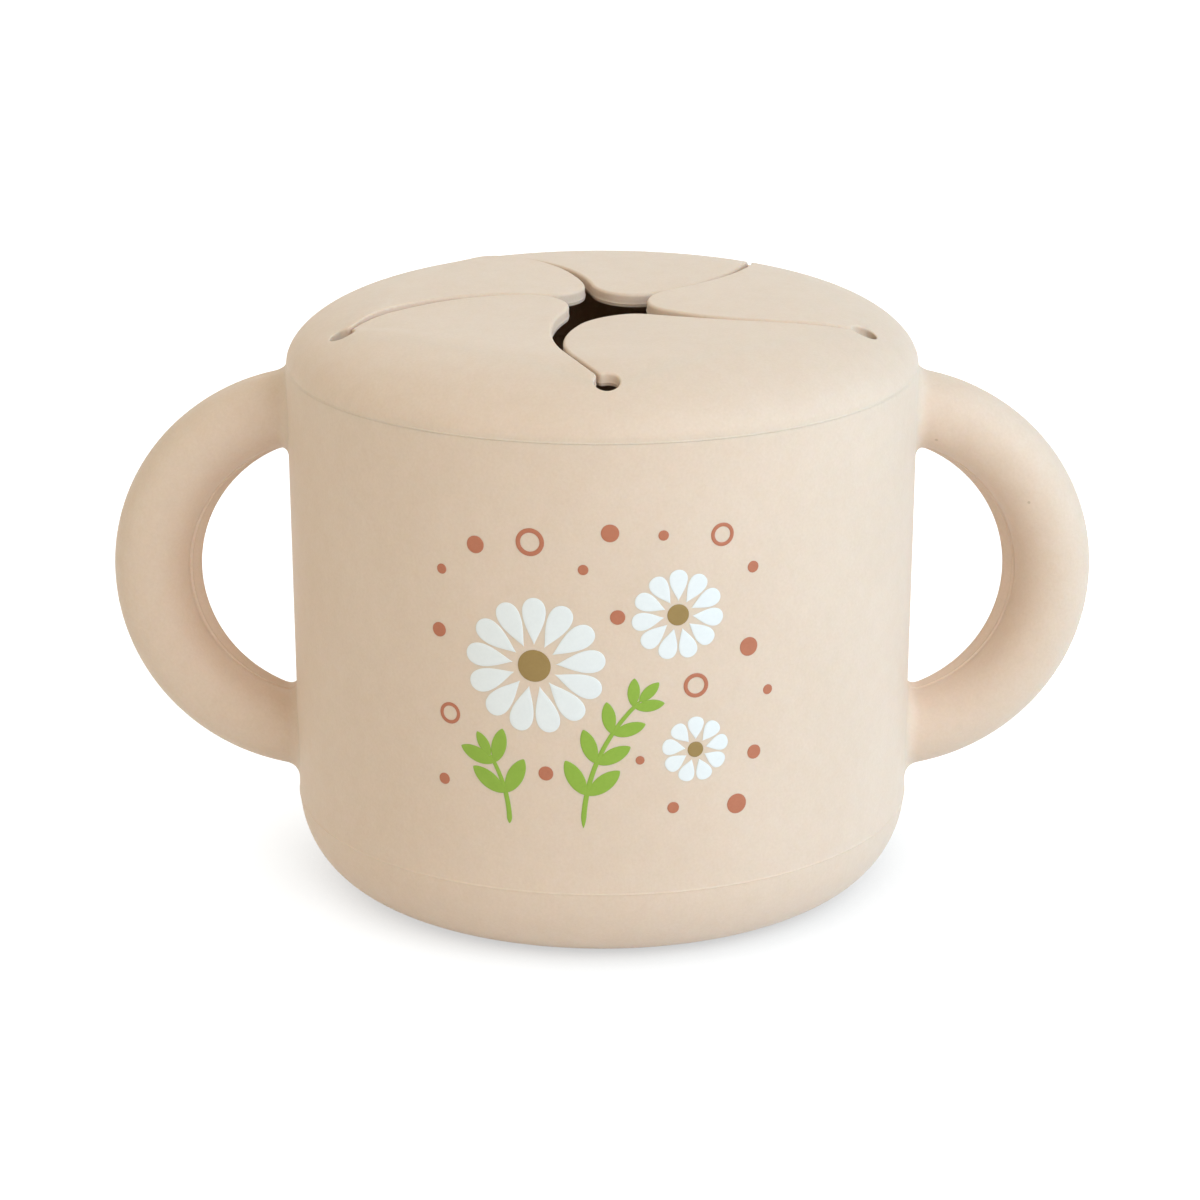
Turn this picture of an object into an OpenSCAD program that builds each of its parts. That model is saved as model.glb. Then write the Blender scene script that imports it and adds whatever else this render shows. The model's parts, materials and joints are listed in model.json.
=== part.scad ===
// Soft silicone snack cup for a toddler: a cup with two moulded ring handles,
// and a domed lid that curved slits divide into five springy flaps.
// Millimetres. The cup stands on the origin, the handles lie along X, the print faces -Y.

/* [Cup] */
// Outer radius where the cup meets the lid
cup_top_r = 44; // [40:0.5:48]
// Outer radius at the top of the rounded bottom edge
cup_low_r = 43.5; // [40:0.5:48]
// Height of the seam between cup and lid
seam_h = 73.9; // [70:0.1:80]
// Height of the rounded bottom edge
foot_h = 12; // [8:0.5:16]
// Width of the rounded bottom edge
foot_w = 10.1; // [8:0.1:14]
// Thickness of the wall
wall_t = 2.7; // [2:0.1:3.2]
// Thickness of the floor
floor_t = 3.2; // [2:0.1:5]
// Radius of the corner between floor and wall, inside
inner_corner_r = 8; // [4:0.5:12]

/* [Handles] */
// Radius of the handle ring, at the middle of its tube
ring_r = 24.6; // [20:0.1:26]
// Radius of the handle's tube
tube_r = 5.3; // [4.5:0.1:6.5]
// Distance from the cup's axis to the middle of the ring
ring_x = 39.2; // [36:0.1:42]
// Height of the middle of the ring
ring_z = 43.4; // [40:0.1:46]

/* [Lid] */
// Thickness of the lid
lid_t = 2.2; // [1.8:0.1:2.6]
// Width of the lid's rounded shoulder
shoulder_w = 15.2; // [13:0.1:17]
// Height of the lid's rounded shoulder
shoulder_h = 7.6; // [7:0.1:9]
// Extra rise of the dome from edge to middle
crown_h = 1.7; // [1:0.1:3]
// Depth of the ring that plugs into the cup
plug_depth = 6.5; // [4:0.5:10]
// Thickness of the plug ring
plug_t = 2; // [1.5:0.1:2.2]
// Gap between plug ring and cup wall
plug_gap = 0.35; // [0.2:0.05:0.5]
// Turn of the lid on the cup, in degrees
lid_turn = 0.9; // [-36:0.1:36]

/* [Flaps] */
// Distance from the middle to the holes that end the slits
hole_ring_r = 37.3; // [36:0.1:38]
// Diameter of the holes that end the slits
hole_d = 3.4; // [2.5:0.1:4]
// Radius of the slits' curve
slit_r = 28.5; // [27:0.5:31]
// Distance from the middle to the line that the flaps' round sides follow
slit_inner_r = 3.1; // [2.5:0.1:3.5]
// How much nearer the middle their hollow sides run, so that the slits widen towards it
slit_spread = 2.9; // [2:0.1:3]
// Width of the slits at their holes
slit_gap = 0.3; // [0.2:0.05:0.5]
// Thickness of the flaps
flap_t = 2; // [1.6:0.1:2.2]
// Extra gap that lets a flap's narrow corner turn beside the next flap
corner_gap = 1; // [0.8:0.05:1.2]
// Rounding of the flaps' tips
tip_r = 5.9; // [4.5:0.1:6.5]
// Height of the flaps' bending lines
hinge_h = 80.4; // [80.3:0.1:80.5]
// Radius of the rounded root of each flap
root_r = 2.2; // [2.1:0.05:2.3]
// Gap round the root of each flap
root_gap = 0.25; // [0.2:0.05:0.35]
// How far each flap's tip stands up at rest, in degrees
flap_lift = [-3, -0.7, -2, -1.5, 0];

/* [Print] */
// Thickness of the ink
ink_t = 0.1; // [0.05:0.01:0.2]
// Width of the twigs
twig_w = 0.7; // [0.5:0.1:1.2]
// Flowers: place along the wall, height, radius, number of petals
flowers = [[-9, 43.5, 9.4, 13], [10, 50.5, 6.2, 11], [12.5, 31.5, 4.6, 9]];
// Twigs: place along the wall, height, radius of curve, degrees of it, pairs of leaves, 1 to bend right
twigs = [[-2.5, 21, 25, 46, 4, 1], [-12.5, 21, 18, 32, 2, 0]];
// Berries: place along the wall, height, radius, and 1 for a ring
berries = [
    [-22, 55.5, 0.7, 0], [-17, 59.5, 1.2, 0], [-9.5, 60.5, 1.9, 1], [-2.5, 57, 0.7, 0],
    [1, 62, 1.2, 0], [2, 50.5, 1, 0], [8, 61.5, 0.7, 0], [16, 61, 1.6, 1],
    [20.5, 56, 0.8, 0], [20, 45, 1.3, 0], [12.5, 40.5, 1.7, 1], [23, 38.5, 0.7, 0],
    [-22.5, 47, 1, 0], [-21, 35.5, 1.5, 1], [-22, 26, 0.8, 0], [21, 30, 1, 0],
    [18.5, 23, 1.4, 0], [9.5, 23.5, 0.8, 0], [5, 30.5, 0.6, 0], [-7.5, 28.5, 1, 0]
];

/* [Hidden] */
$fn = 96;

silicone = [0.87, 0.80, 0.71];
flap_count = 5;
flap_turn = 360 / flap_count;
curve_steps = 12;                            // straight steps in a rounded edge of a profile
plug_r = cup_top_r - wall_t - plug_gap;      // outer radius of the plug ring
hinge_len = 2 * hole_ring_r * sin(flap_turn / 2);
hinge_lead = 0.6;                            // how far the rim's hinge grooves run past the holes
slit_c = slit_middle(slit_inner_r);          // middle of the round side of flap 1
next_c = turned(slit_middle(slit_inner_r - slit_spread), flap_turn);    // and of its hollow side
next_hole = turned([0, -hole_ring_r], flap_turn);
relief_turn = 40;                            // how far along the slit the extra gap reaches, in degrees
root_short = 4;                              // how far a flap's root stops short of its far hole
far = 100;                                   // longer than anything that a cut goes through
ink_low = 18;
ink_high = 66;

function turned(p, a) = [p.x * cos(a) - p.y * sin(a), p.x * sin(a) + p.y * cos(a)];
function reversed(v) = [for (i = [len(v) - 1:-1:0]) v[i]];
function slit_middle(inner) =
    let (half = (hole_ring_r - inner) / 2)
    [sqrt(slit_r * slit_r - half * half), -(hole_ring_r + inner) / 2];
function wall_r(z) = cup_low_r + (cup_top_r - cup_low_r) * (z - foot_h) / (seam_h - foot_h);

// Points of a quarter ellipse round c, from angle a to angle b
function bend(c, rx, rz, a, b) = [
    for (i = [0:curve_steps])
        let (t = a + (b - a) * i / curve_steps) [c.x + rx * cos(t), c.y + rz * sin(t)]
];

// Height of the dome at radius r, for a shell whose face lies d below the outer face
function dome_z(r, d) =
    let (u = (r - (cup_top_r - shoulder_w)) / (shoulder_w - d))
    seam_h + (shoulder_h - d) * (u <= 0 ? 1 : sqrt(1 - min(u, 1) * min(u, 1)))
    + crown_h * (1 - pow(r / cup_top_r, 2));

// Points of the dome's profile from radius a to radius b, closer together where it is steep
function dome_line(a, b, d) = [
    for (i = [0:2 * curve_steps])
        let (r = a + (b - a) * sin(90 * i / (2 * curve_steps))) [r, dome_z(r, d)]
];

// Middle of the circle that rounds a flap's tip: it touches the slits on both sides
function tip_middle() =
    let (a = slit_r - slit_gap / 2 - tip_r, b = slit_r + slit_gap / 2 + tip_r,
         d = norm(next_c - slit_c), along = (next_c - slit_c) / d,
         s = (a * a - b * b + d * d) / (2 * d), h = sqrt(a * a - s * s))
    slit_c + along * s + [-along.y, along.x] * h;

// ---- Cup ----

module cup_outside() {
    rotate_extrude()
        polygon(concat(
            [[0, 0]],
            bend([cup_low_r - foot_w, foot_h], foot_w, foot_h, -90, 0),
            [[cup_top_r, seam_h], [0, seam_h]]
        ));
}

module cup_inside() {
    low_r = wall_r(floor_t + inner_corner_r) - wall_t;
    rotate_extrude()
        polygon(concat(
            [[0, floor_t]],
            bend([low_r - inner_corner_r, floor_t + inner_corner_r], inner_corner_r, inner_corner_r, -90, 0),
            [[cup_top_r - wall_t, seam_h], [cup_top_r - wall_t, far], [0, far]]
        ));
}

module cup_bowl() {
    color(silicone)
        difference() {
            cup_outside();
            cup_inside();
        }
}

// A ring whose inner part is cut away where the cup stands
module handle(side) {
    color(silicone)
        difference() {
            translate([side * ring_x, 0, ring_z])
                rotate([90, 0, 0])
                    rotate_extrude()
                        translate([ring_r, 0])
                            circle(r = tube_r);
            cup_outside();
        }
}

// ---- Lid ----

// The domed shell with the given thickness, closed at the middle
module dome(t) {
    edge_r = cup_top_r - t - 0.2;
    rotate_extrude()
        polygon(concat(
            dome_line(0, cup_top_r, 0),
            [[edge_r, seam_h]],
            reversed(dome_line(0, edge_r - 0.4, t))
        ));
}

// The shell, its flat lower edge and the ring that plugs into the cup
module lid_blank() {
    plug_in = plug_r - plug_t;
    chamfer = 0.5;
    rotate_extrude()
        polygon(concat(
            dome_line(0, cup_top_r, 0),
            [
                [plug_r, seam_h],
                [plug_r, seam_h - plug_depth + chamfer], [plug_r - chamfer, seam_h - plug_depth],
                [plug_in + chamfer, seam_h - plug_depth], [plug_in, seam_h - plug_depth + chamfer]
            ],
            reversed(dome_line(0, plug_in, lid_t))
        ));
}

// Moves its children from the bending line of flap k to its place: X along the line, Y to the middle
module at_hinge(k) {
    rotate(lid_turn + flap_turn * (k - 1))
        translate([0, -hole_ring_r, hinge_h])
            rotate(flap_turn / 2)
                children();
}

module slit_holes() {
    for (k = [1:flap_count])
        rotate(flap_turn * (k - 1))
            translate([0, -hole_ring_r, 0])
                cylinder(d = hole_d, h = far);
}

module lid_rim() {
    color(silicone)
        difference() {
            difference() {
                lid_blank();
                rotate(lid_turn)
                    translate([0, 0, seam_h + 1])
                        linear_extrude(far)
                            polygon([for (k = [0:flap_count - 1]) turned([0, -hole_ring_r], k * flap_turn)]);
            }
            for (k = [1:flap_count])
                at_hinge(k)
                    translate([-hinge_lead, 0, 0])
                        rotate([0, 90, 0])
                            cylinder(r = root_r + root_gap, h = hinge_len + 2 * hinge_lead);
            rotate(lid_turn)
                slit_holes();
        }
}

// ---- Flaps ----

// What the narrow corner of flap 1 gives up beside the slit that ends at its far hole: most at the hole,
// and nothing from relief_turn degrees on
module corner_relief() {
    steps = 8;
    overlap = 0.05;
    start = atan2(next_hole.y - next_c.y, next_hole.x - next_c.x);
    function at(i, r) = next_c + turned([r, 0], start - relief_turn * i / steps);
    polygon(concat(
        [for (i = [-1:steps])
            at(i, slit_r + slit_gap / 2 - overlap + (corner_gap + overlap) * pow(1 - i / steps, 2))],
        [for (i = [steps:-1:-1]) at(i, slit_r - 1)]
    ));
}

// A flap from above, in the place of flap 1: between its two slits, with a rounded tip
module flap_plan() {
    c = tip_middle();
    on_slit = slit_c + (c - slit_c) * (slit_r - slit_gap / 2) / norm(c - slit_c);
    on_next = next_c + (c - next_c) * (slit_r + slit_gap / 2) / norm(c - next_c);
    corner = on_slit + on_next - c;
    beyond = c + (corner - c) * 2;
    difference() {
        intersection() {
            translate(slit_c)
                circle(r = slit_r - slit_gap / 2);
            translate([0, -hole_ring_r])
                rotate(flap_turn / 2)
                    translate([-far / 2, 0])
                        square([2 * far, far]);
        }
        translate(next_c)
            circle(r = slit_r + slit_gap / 2);
        corner_relief();
        difference() {
            polygon([c, on_slit, beyond, on_next]);
            translate(c)
                circle(r = tip_r);
        }
    }
}

// The half round bar along the bending line, on the rim's side of it
module flap_root() {
    translate([0, -hole_ring_r, hinge_h])
        rotate(flap_turn / 2)
            intersection() {
                translate([slit_gap, 0, 0])
                    rotate([0, 90, 0])
                        cylinder(r = root_r, h = hinge_len - slit_gap - root_short);
                translate([0, -root_r, -root_r])
                    cube([hinge_len, root_r, 2 * root_r]);
            }
}

module flap_flat() {
    difference() {
        intersection() {
            dome(flap_t);
            union() {
                translate([0, 0, seam_h])
                    linear_extrude(far)
                        flap_plan();
                flap_root();
            }
        }
        slit_holes();
    }
}

module flap(k) {
    color(silicone)
        at_hinge(k)
            rotate([flap_lift[k - 1], 0, 0])
                rotate(-flap_turn / 2)
                    translate([0, hole_ring_r, -hinge_h])
                        flap_flat();
}

// ---- Print ----

// Wraps a flat drawing round the front of the wall; x runs along the wall from the middle
module on_wall(x, z) {
    intersection() {
        rotate_extrude()
            polygon([
                [wall_r(ink_low), ink_low], [wall_r(ink_low) + ink_t, ink_low],
                [wall_r(ink_high) + ink_t, ink_high], [wall_r(ink_high), ink_high]
            ]);
        rotate(x / wall_r(z) * 180 / PI)
            rotate([90, 0, 0])
                linear_extrude(far)
                    translate([0, z])
                        children();
    }
}

// A petal of a flower with radius r and n petals: a drop, wide at its outer end
module petal(r, n) {
    k = 0.88 * sin(180 / n);
    w = r * k / (1 + k);
    from = r * 0.31;
    difference() {
        union() {
            translate([0, r - w])
                circle(r = w);
            polygon([[0, from / 2], [w * 0.9, r - w], [-w * 0.9, r - w]]);
        }
        circle(r = from);
    }
}

module print_petals() {
    color("white")
        for (f = flowers)
            on_wall(f[0], f[1])
                for (i = [0:f[3] - 1])
                    rotate(360 * i / f[3])
                        petal(f[2], f[3]);
}

module print_centres() {
    color([0.63, 0.51, 0.29])
        for (f = flowers)
            on_wall(f[0], f[1])
                circle(r = f[2] * 0.27);
}

// A pointed leaf of length l, growing up from its own origin
module leaf(l) {
    r = l * 0.75;
    intersection_for (s = [-1, 1])
        translate([s * sqrt(r * r - l * l / 4), l / 2])
            circle(r = r);
}

// A twig along an arc of radius r that ends at angle b, with pairs of leaves of length l
module twig(r, a, b, l, pairs) {
    difference() {
        circle(r = r + twig_w / 2);
        circle(r = r - twig_w / 2);
        rotate(a)
            translate([-far, -far])
                square([2 * far, far]);
        rotate(b)
            translate([-far, 0])
                square([2 * far, far]);
    }
    for (i = [1:pairs], s = [-1, 1])
        rotate(a + (b - a) * i / (pairs + 0.3))
            translate([r + s * twig_w / 4, 0])
                rotate(-40 * s)
                    leaf(l * (1.15 - 0.1 * i));
    rotate(b - 1)
        translate([r, 0])
            leaf(l * 0.7);
}

module print_leaves() {
    color([0.57, 0.69, 0.24])
        for (t = twigs)
            on_wall(t[0], t[1])
                mirror([t[5], 0])
                    translate([-t[2], 0])
                        twig(t[2], 0, t[3], 5.2, t[4]);
}

module print_berries() {
    color([0.75, 0.45, 0.33])
        for (b = berries)
            on_wall(b[0], b[1])
                difference() {
                    circle(r = b[2]);
                    if (b[3] == 1)
                        circle(r = b[2] * 0.68);
                }
}

cup_bowl();
handle(-1);  // handle_left
handle(1);  // handle_right
lid_rim();
flap(1);  // flap_1
flap(2);  // flap_2
flap(3);  // flap_3
flap(4);  // flap_4
flap(5);  // flap_5
print_petals();
print_centres();
print_leaves();
print_berries();
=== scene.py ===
import json
from math import asin, atan2, cos, exp, hypot, pi, radians, sin, sqrt, tan

import bmesh
import bpy
from mathutils import Matrix, Vector


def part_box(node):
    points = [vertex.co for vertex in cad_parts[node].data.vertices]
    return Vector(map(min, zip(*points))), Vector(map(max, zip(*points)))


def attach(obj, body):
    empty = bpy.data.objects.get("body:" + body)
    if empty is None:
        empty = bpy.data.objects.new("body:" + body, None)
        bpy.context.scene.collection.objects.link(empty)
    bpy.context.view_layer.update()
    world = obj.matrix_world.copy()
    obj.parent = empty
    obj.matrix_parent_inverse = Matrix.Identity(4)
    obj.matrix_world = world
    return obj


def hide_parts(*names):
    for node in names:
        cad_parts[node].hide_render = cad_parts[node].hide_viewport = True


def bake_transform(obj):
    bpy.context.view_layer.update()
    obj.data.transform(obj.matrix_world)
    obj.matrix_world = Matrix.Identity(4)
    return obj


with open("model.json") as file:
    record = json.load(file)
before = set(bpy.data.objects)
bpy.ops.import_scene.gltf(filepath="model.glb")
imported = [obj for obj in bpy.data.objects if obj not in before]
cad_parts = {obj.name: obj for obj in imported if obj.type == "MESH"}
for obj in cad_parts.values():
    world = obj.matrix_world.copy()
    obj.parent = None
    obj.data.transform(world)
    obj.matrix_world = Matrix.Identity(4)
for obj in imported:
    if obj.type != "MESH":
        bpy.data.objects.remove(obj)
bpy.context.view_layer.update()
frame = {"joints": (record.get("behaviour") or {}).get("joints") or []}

# Shapes are worked out in millimetres and written to the meshes in metres.
mm = 0.001
cupBox = [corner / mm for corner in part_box("cup_bowl")]
rimBox = [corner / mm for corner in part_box("lid_rim")]
ringBox = [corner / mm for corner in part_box("handle_right")]
seamHeight = cupBox[1].z
topRadius = cupBox[1].x
seamGap = 0.01                # how far cup and lid each stay off the seam between them


def smoothStep(t):
    t = min(max(t, 0), 1)
    return t * t * (3 - 2 * t)


def mix(a, b, t):
    return a + (b - a) * t


def turned(point, angle):
    c, s = cos(angle), sin(angle)
    return Vector((point[0] * c - point[1] * s, point[0] * s + point[1] * c))


def arc(centre, size, start, end, steps):
    angles = [radians(mix(start, end, i / steps)) for i in range(steps + 1)]
    return [(centre[0] + size[0] * cos(a), centre[1] + size[1] * sin(a)) for a in angles]


# Wraps a socket, so that Python's own operators add the nodes of a sum
class Flow:
    def __init__(self, tree, socket=None):
        self.tree = tree
        self.socket = socket

    def node(self, kind, settings=None, inputs=None, output=0):
        made = self.tree.nodes.new(kind)
        for name, value in (settings or {}).items():
            setattr(made, name, value)
        for name, value in (inputs or {}).items():
            if isinstance(value, Flow):
                self.tree.links.new(value.socket, made.inputs[name])
            else:
                made.inputs[name].default_value = value
        return Flow(self.tree, made.outputs[output] if made.outputs else None)

    def maths(self, operation, a, b=0.0):
        return self.node("ShaderNodeMath", {"operation": operation}, {0: a, 1: b})

    def __add__(self, other):
        return self.maths("ADD", self, other)

    def __radd__(self, other):
        return self.maths("ADD", other, self)

    def __sub__(self, other):
        return self.maths("SUBTRACT", self, other)

    def __mul__(self, other):
        return self.maths("MULTIPLY", self, other)

    def __lt__(self, other):
        return self.maths("LESS_THAN", self, other)

    def __gt__(self, other):
        return self.maths("GREATER_THAN", self, other)

    def blend(self, a, b):
        return self.node("ShaderNodeMix", {"data_type": "RGBA"}, {0: self, 6: a, 7: b}, output=2)


def newMaterial(name):
    material = bpy.data.materials.new(name)
    material.use_nodes = True
    material.node_tree.nodes.clear()
    return material, Flow(material.node_tree)


# A colour of light from the red, green and blue of a screen, each 0 to 255
def colour(red, green, blue):
    def linear(value):
        value = value / 255
        return value / 12.92 if value <= 0.04045 else ((value + 0.055) / 1.055) ** 2.4
    return (linear(red), linear(green), linear(blue), 1)


def noise(flow, place, scale, detail, roughness=0.5):
    return flow.node("ShaderNodeTexNoise", {"noise_dimensions": "3D"},
                     {"Vector": place, "Scale": scale, "Detail": detail, "Roughness": roughness})


noiseMiddle = 0.5             # of the values that a noise gives

silicone = {
    "colour": colour(231, 207, 188),
    "deeper": colour(222, 196, 174),
    "deeperShare": 0.4,
    "clouds": (55, 3.0),      # waves in a metre, detail, and the roughness of that detail
    "patches": (420, 2.0),
    "grains": (2600, 2.0, 0.6),
    "cloudTone": 0.7,         # how far each of the three changes the tone
    "patchTone": 0.5,
    "grainTone": 1.1,
    "speck": colour(184, 158, 126),
    "speckCells": 150.0,      # cells in a metre, of which a few hold a speck
    "speckSize": 0.035,
    "speckRarity": 0.86,
    "speckStrength": 0.55,
    "speckDepth": 1.5,
    "patchHeight": 0.6,
    "bump": 0.2,
    "bumpDistance": 0.0001,
    "roughness": 0.58,
    "patchRoughness": 0.12,
    "specular": 0.42,
    "sheen": 0.1,
    "sheenRoughness": 0.5,
    "subsurface": 0.25,
    "subsurfaceDepth": 0.0012,
    "subsurfaceReach": (1.0, 0.5, 0.25),
}


def siliconeMaterial():
    material, flow = newMaterial("silicone")
    place = flow.node("ShaderNodeTexCoord", output=3)
    cloudy = noise(flow, place, *silicone["clouds"]) - noiseMiddle
    patchy = noise(flow, place, *silicone["patches"]) - noiseMiddle
    fine = noise(flow, place, *silicone["grains"]) - noiseMiddle
    cells = {"feature": "F1", "voronoi_dimensions": "3D"}
    cellPlace = {"Vector": place, "Scale": silicone["speckCells"]}
    toMiddle = flow.node("ShaderNodeTexVoronoi", cells, cellPlace)
    cellColour = flow.node("ShaderNodeTexVoronoi", cells, cellPlace, output=1)
    cellNumber = flow.node("ShaderNodeSeparateColor", inputs={0: cellColour})
    speck = (toMiddle < silicone["speckSize"]) * (cellNumber > silicone["speckRarity"])
    tone = cloudy * silicone["cloudTone"] + patchy * silicone["patchTone"] + fine * silicone["grainTone"]
    base = (tone + silicone["deeperShare"]).blend(silicone["colour"], silicone["deeper"])
    base = (speck * silicone["speckStrength"]).blend(base, silicone["speck"])
    rough = silicone["roughness"] + patchy * silicone["patchRoughness"]
    height = fine + patchy * silicone["patchHeight"] - speck * silicone["speckDepth"]
    bump = flow.node("ShaderNodeBump", None, {
        "Strength": silicone["bump"], "Distance": silicone["bumpDistance"], "Height": height,
    })
    shader = flow.node("ShaderNodeBsdfPrincipled", None, {
        "Base Color": base, "Roughness": rough, "Normal": bump,
        "Specular IOR Level": silicone["specular"],
        "Sheen Weight": silicone["sheen"], "Sheen Roughness": silicone["sheenRoughness"],
        "Subsurface Weight": silicone["subsurface"], "Subsurface Radius": silicone["subsurfaceReach"],
        "Subsurface Scale": silicone["subsurfaceDepth"],
    })
    flow.node("ShaderNodeOutputMaterial", None, {"Surface": shader})
    return material


inks = {
    "white": (colour(240, 240, 240), colour(232, 232, 233)),
    "ochre": (colour(160, 130, 76), colour(148, 118, 66)),
    "green": (colour(148, 178, 62), colour(134, 166, 52)),
    "terracotta": (colour(190, 116, 86), colour(178, 104, 76)),
}
inkLook = {
    "deeperShare": 0.4,
    "patches": (500, 2.0),
    "grains": (2400, 2.0, 0.6),
    "patchTone": 0.7,
    "grainTone": 0.8,
    "patchHeight": 0.5,
    "bump": 0.12,
    "bumpDistance": 0.0001,
    "roughness": 0.52,
    "patchRoughness": 0.1,
    "specular": 0.45,
}


def inkMaterial(name):
    material, flow = newMaterial("ink_" + name)
    place = flow.node("ShaderNodeTexCoord", output=3)
    fine = noise(flow, place, *inkLook["grains"]) - noiseMiddle
    patchy = noise(flow, place, *inkLook["patches"]) - noiseMiddle
    tone = fine * inkLook["grainTone"] + patchy * inkLook["patchTone"] + inkLook["deeperShare"]
    base = tone.blend(*inks[name])
    rough = inkLook["roughness"] + patchy * inkLook["patchRoughness"]
    height = fine + patchy * inkLook["patchHeight"]
    bump = flow.node("ShaderNodeBump", None, {
        "Strength": inkLook["bump"], "Distance": inkLook["bumpDistance"], "Height": height,
    })
    shader = flow.node("ShaderNodeBsdfPrincipled", None, {
        "Base Color": base, "Roughness": rough, "Normal": bump,
        "Specular IOR Level": inkLook["specular"],
    })
    flow.node("ShaderNodeOutputMaterial", None, {"Surface": shader})
    return material


siliconeFinish = siliconeMaterial()
inkFinish = {name: inkMaterial(name) for name in inks}
print("materials made")


meshing = {
    "weld": 0.0005,           # points nearer than this become one
    "shortest": 0.0002,
    "sharp": 38,              # degrees over which an edge is shaded sharp
    "agree": 0.6,             # how nearly a borrowed normal has to point the way of its face
}
noNormal = Vector((0, 0, 0))


# The layer holds, for some points, the normal of a neighbour that the surface runs on into
def newMesh():
    bm = bmesh.new()
    bm.verts.layers.float_vector.new("meets")
    return bm


# A grid whose points go where place(column, row) says
def mappedGrid(columns, rows, place, bm=None):
    bm = bm or newMesh()
    grid = bmesh.ops.create_grid(bm, x_segments=columns, y_segments=rows, size=0.5)
    layer = bm.verts.layers.float_vector["meets"]
    for vert in grid["verts"]:
        point, meets = place(round((vert.co.x + 0.5) * columns), round((vert.co.y + 0.5) * rows))
        vert.co = point
        vert[layer] = meets
    return bm


def capEnds(bm):
    bmesh.ops.remove_doubles(bm, verts=bm.verts, dist=meshing["weld"])
    bmesh.ops.holes_fill(bm, edges=bm.edges, sides=0)


def borrowNormals(mesh):
    meets = [Vector(item.vector) for item in mesh.attributes["meets"].data]
    if any(normal.length for normal in meets):
        normals = [noNormal] * len(mesh.loops)
        for polygon in mesh.polygons:
            for loop in polygon.loop_indices:
                normal = meets[mesh.loops[loop].vertex_index]
                if normal.dot(polygon.normal) > meshing["agree"]:
                    normals[loop] = normal
        mesh.normals_split_custom_set(normals)
    mesh.attributes.remove(mesh.attributes["meets"])


def finishPiece(bm, name, finish, replaced, body=None):
    bmesh.ops.remove_doubles(bm, verts=bm.verts, dist=meshing["weld"])
    bmesh.ops.dissolve_degenerate(bm, edges=bm.edges, dist=meshing["shortest"])
    bmesh.ops.recalc_face_normals(bm, faces=bm.faces)
    bmesh.ops.scale(bm, verts=bm.verts, vec=(mm, mm, mm))
    for face in bm.faces:
        face.smooth = True
    for edge in bm.edges:
        edge.smooth = edge.calc_face_angle(0) < radians(meshing["sharp"])
    mesh = bpy.data.meshes.new(name)
    bm.to_mesh(mesh)
    bm.free()
    borrowNormals(mesh)
    mesh.materials.append(finish)
    piece = bpy.data.objects.new(name, mesh)
    bpy.context.scene.collection.objects.link(piece)
    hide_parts(*replaced)
    if body:
        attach(piece, body)
    return piece


cup = {
    "lowRadius": 43.5,
    "footWidth": 10.1,
    "footHeight": 12,
    "wall": 2.7,
    "floor": 3.2,
    "insideCorner": 8,
    "rimRound": 0.03,
    "rimRing": 1.4,           # how far in from the wall the top of the rim has a ring of points
    "partingHeight": 11.35,   # the mould line round the foot
    "partingProud": 0.09,
    "partingWidth": 0.12,
    "partingStep": 0.07,
    "undersideRings": (0, 12, 24),
    "wallRings": (12, 14, 20, 30, 40, 50, 60, 68, 72, 73),
    "insideRings": (0.1, 0.4, 0.7, 0.9),             # shares of the way down
    "floorRings": (22, 10, 0),
    "steps": 288,
}


def wallRadius(z):
    low = cup["footHeight"]
    return mix(cup["lowRadius"], topRadius, (z - low) / (seamHeight - low))


# From the middle of the underside up the wall, over the rim and down to the floor inside
def cupProfile():
    foot, high, rim = cup["footWidth"], cup["footHeight"], cup["rimRound"]
    rimHeight = seamHeight - rim - seamGap
    inside = topRadius - cup["wall"]
    corner = cup["insideCorner"]
    cornerHeight = cup["floor"] + corner
    cornerRadius = wallRadius(cornerHeight) - cup["wall"]
    points = [(r, 0) for r in cup["undersideRings"]]
    points += arc((cup["lowRadius"] - foot, high), (foot, high), -90, -6, 30)
    for step in range(-6, 7):
        up = step * cup["partingStep"]
        z = cup["partingHeight"] + up
        r = cup["lowRadius"] - foot + foot * sqrt(1 - ((high - z) / high) ** 2)
        points.append((r + cup["partingProud"] * exp(-((up / cup["partingWidth"]) ** 2)), z))
    points += [(wallRadius(z), z) for z in cup["wallRings"]]
    points += arc((wallRadius(seamHeight) - 2 * rim, rimHeight), (rim, rim), 0, 90, 5)
    points.append((topRadius - cup["rimRing"], seamHeight - seamGap))
    points += arc((inside + rim, rimHeight), (rim, rim), 90, 180, 4)
    points += [(mix(inside, cornerRadius, t), mix(seamHeight, cornerHeight, t)) for t in cup["insideRings"]]
    points += arc((cornerRadius - corner, cornerHeight), (corner, corner), 0, -90, 16)
    points += [(r, cup["floor"]) for r in cup["floorRings"]]
    return points


def makeCup():
    bm = newMesh()
    verts = [bm.verts.new((r, 0, z)) for r, z in cupProfile()]
    edges = [bm.edges.new(pair) for pair in zip(verts, verts[1:])]
    bmesh.ops.spin(bm, geom=verts + edges, cent=(0, 0, 0), axis=(0, 0, 1), angle=2 * pi,
                   steps=cup["steps"], use_merge=True)
    return finishPiece(bm, "cup", siliconeFinish, ["cup_bowl"], "cup")


makeCup()
print("cup made")

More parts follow.
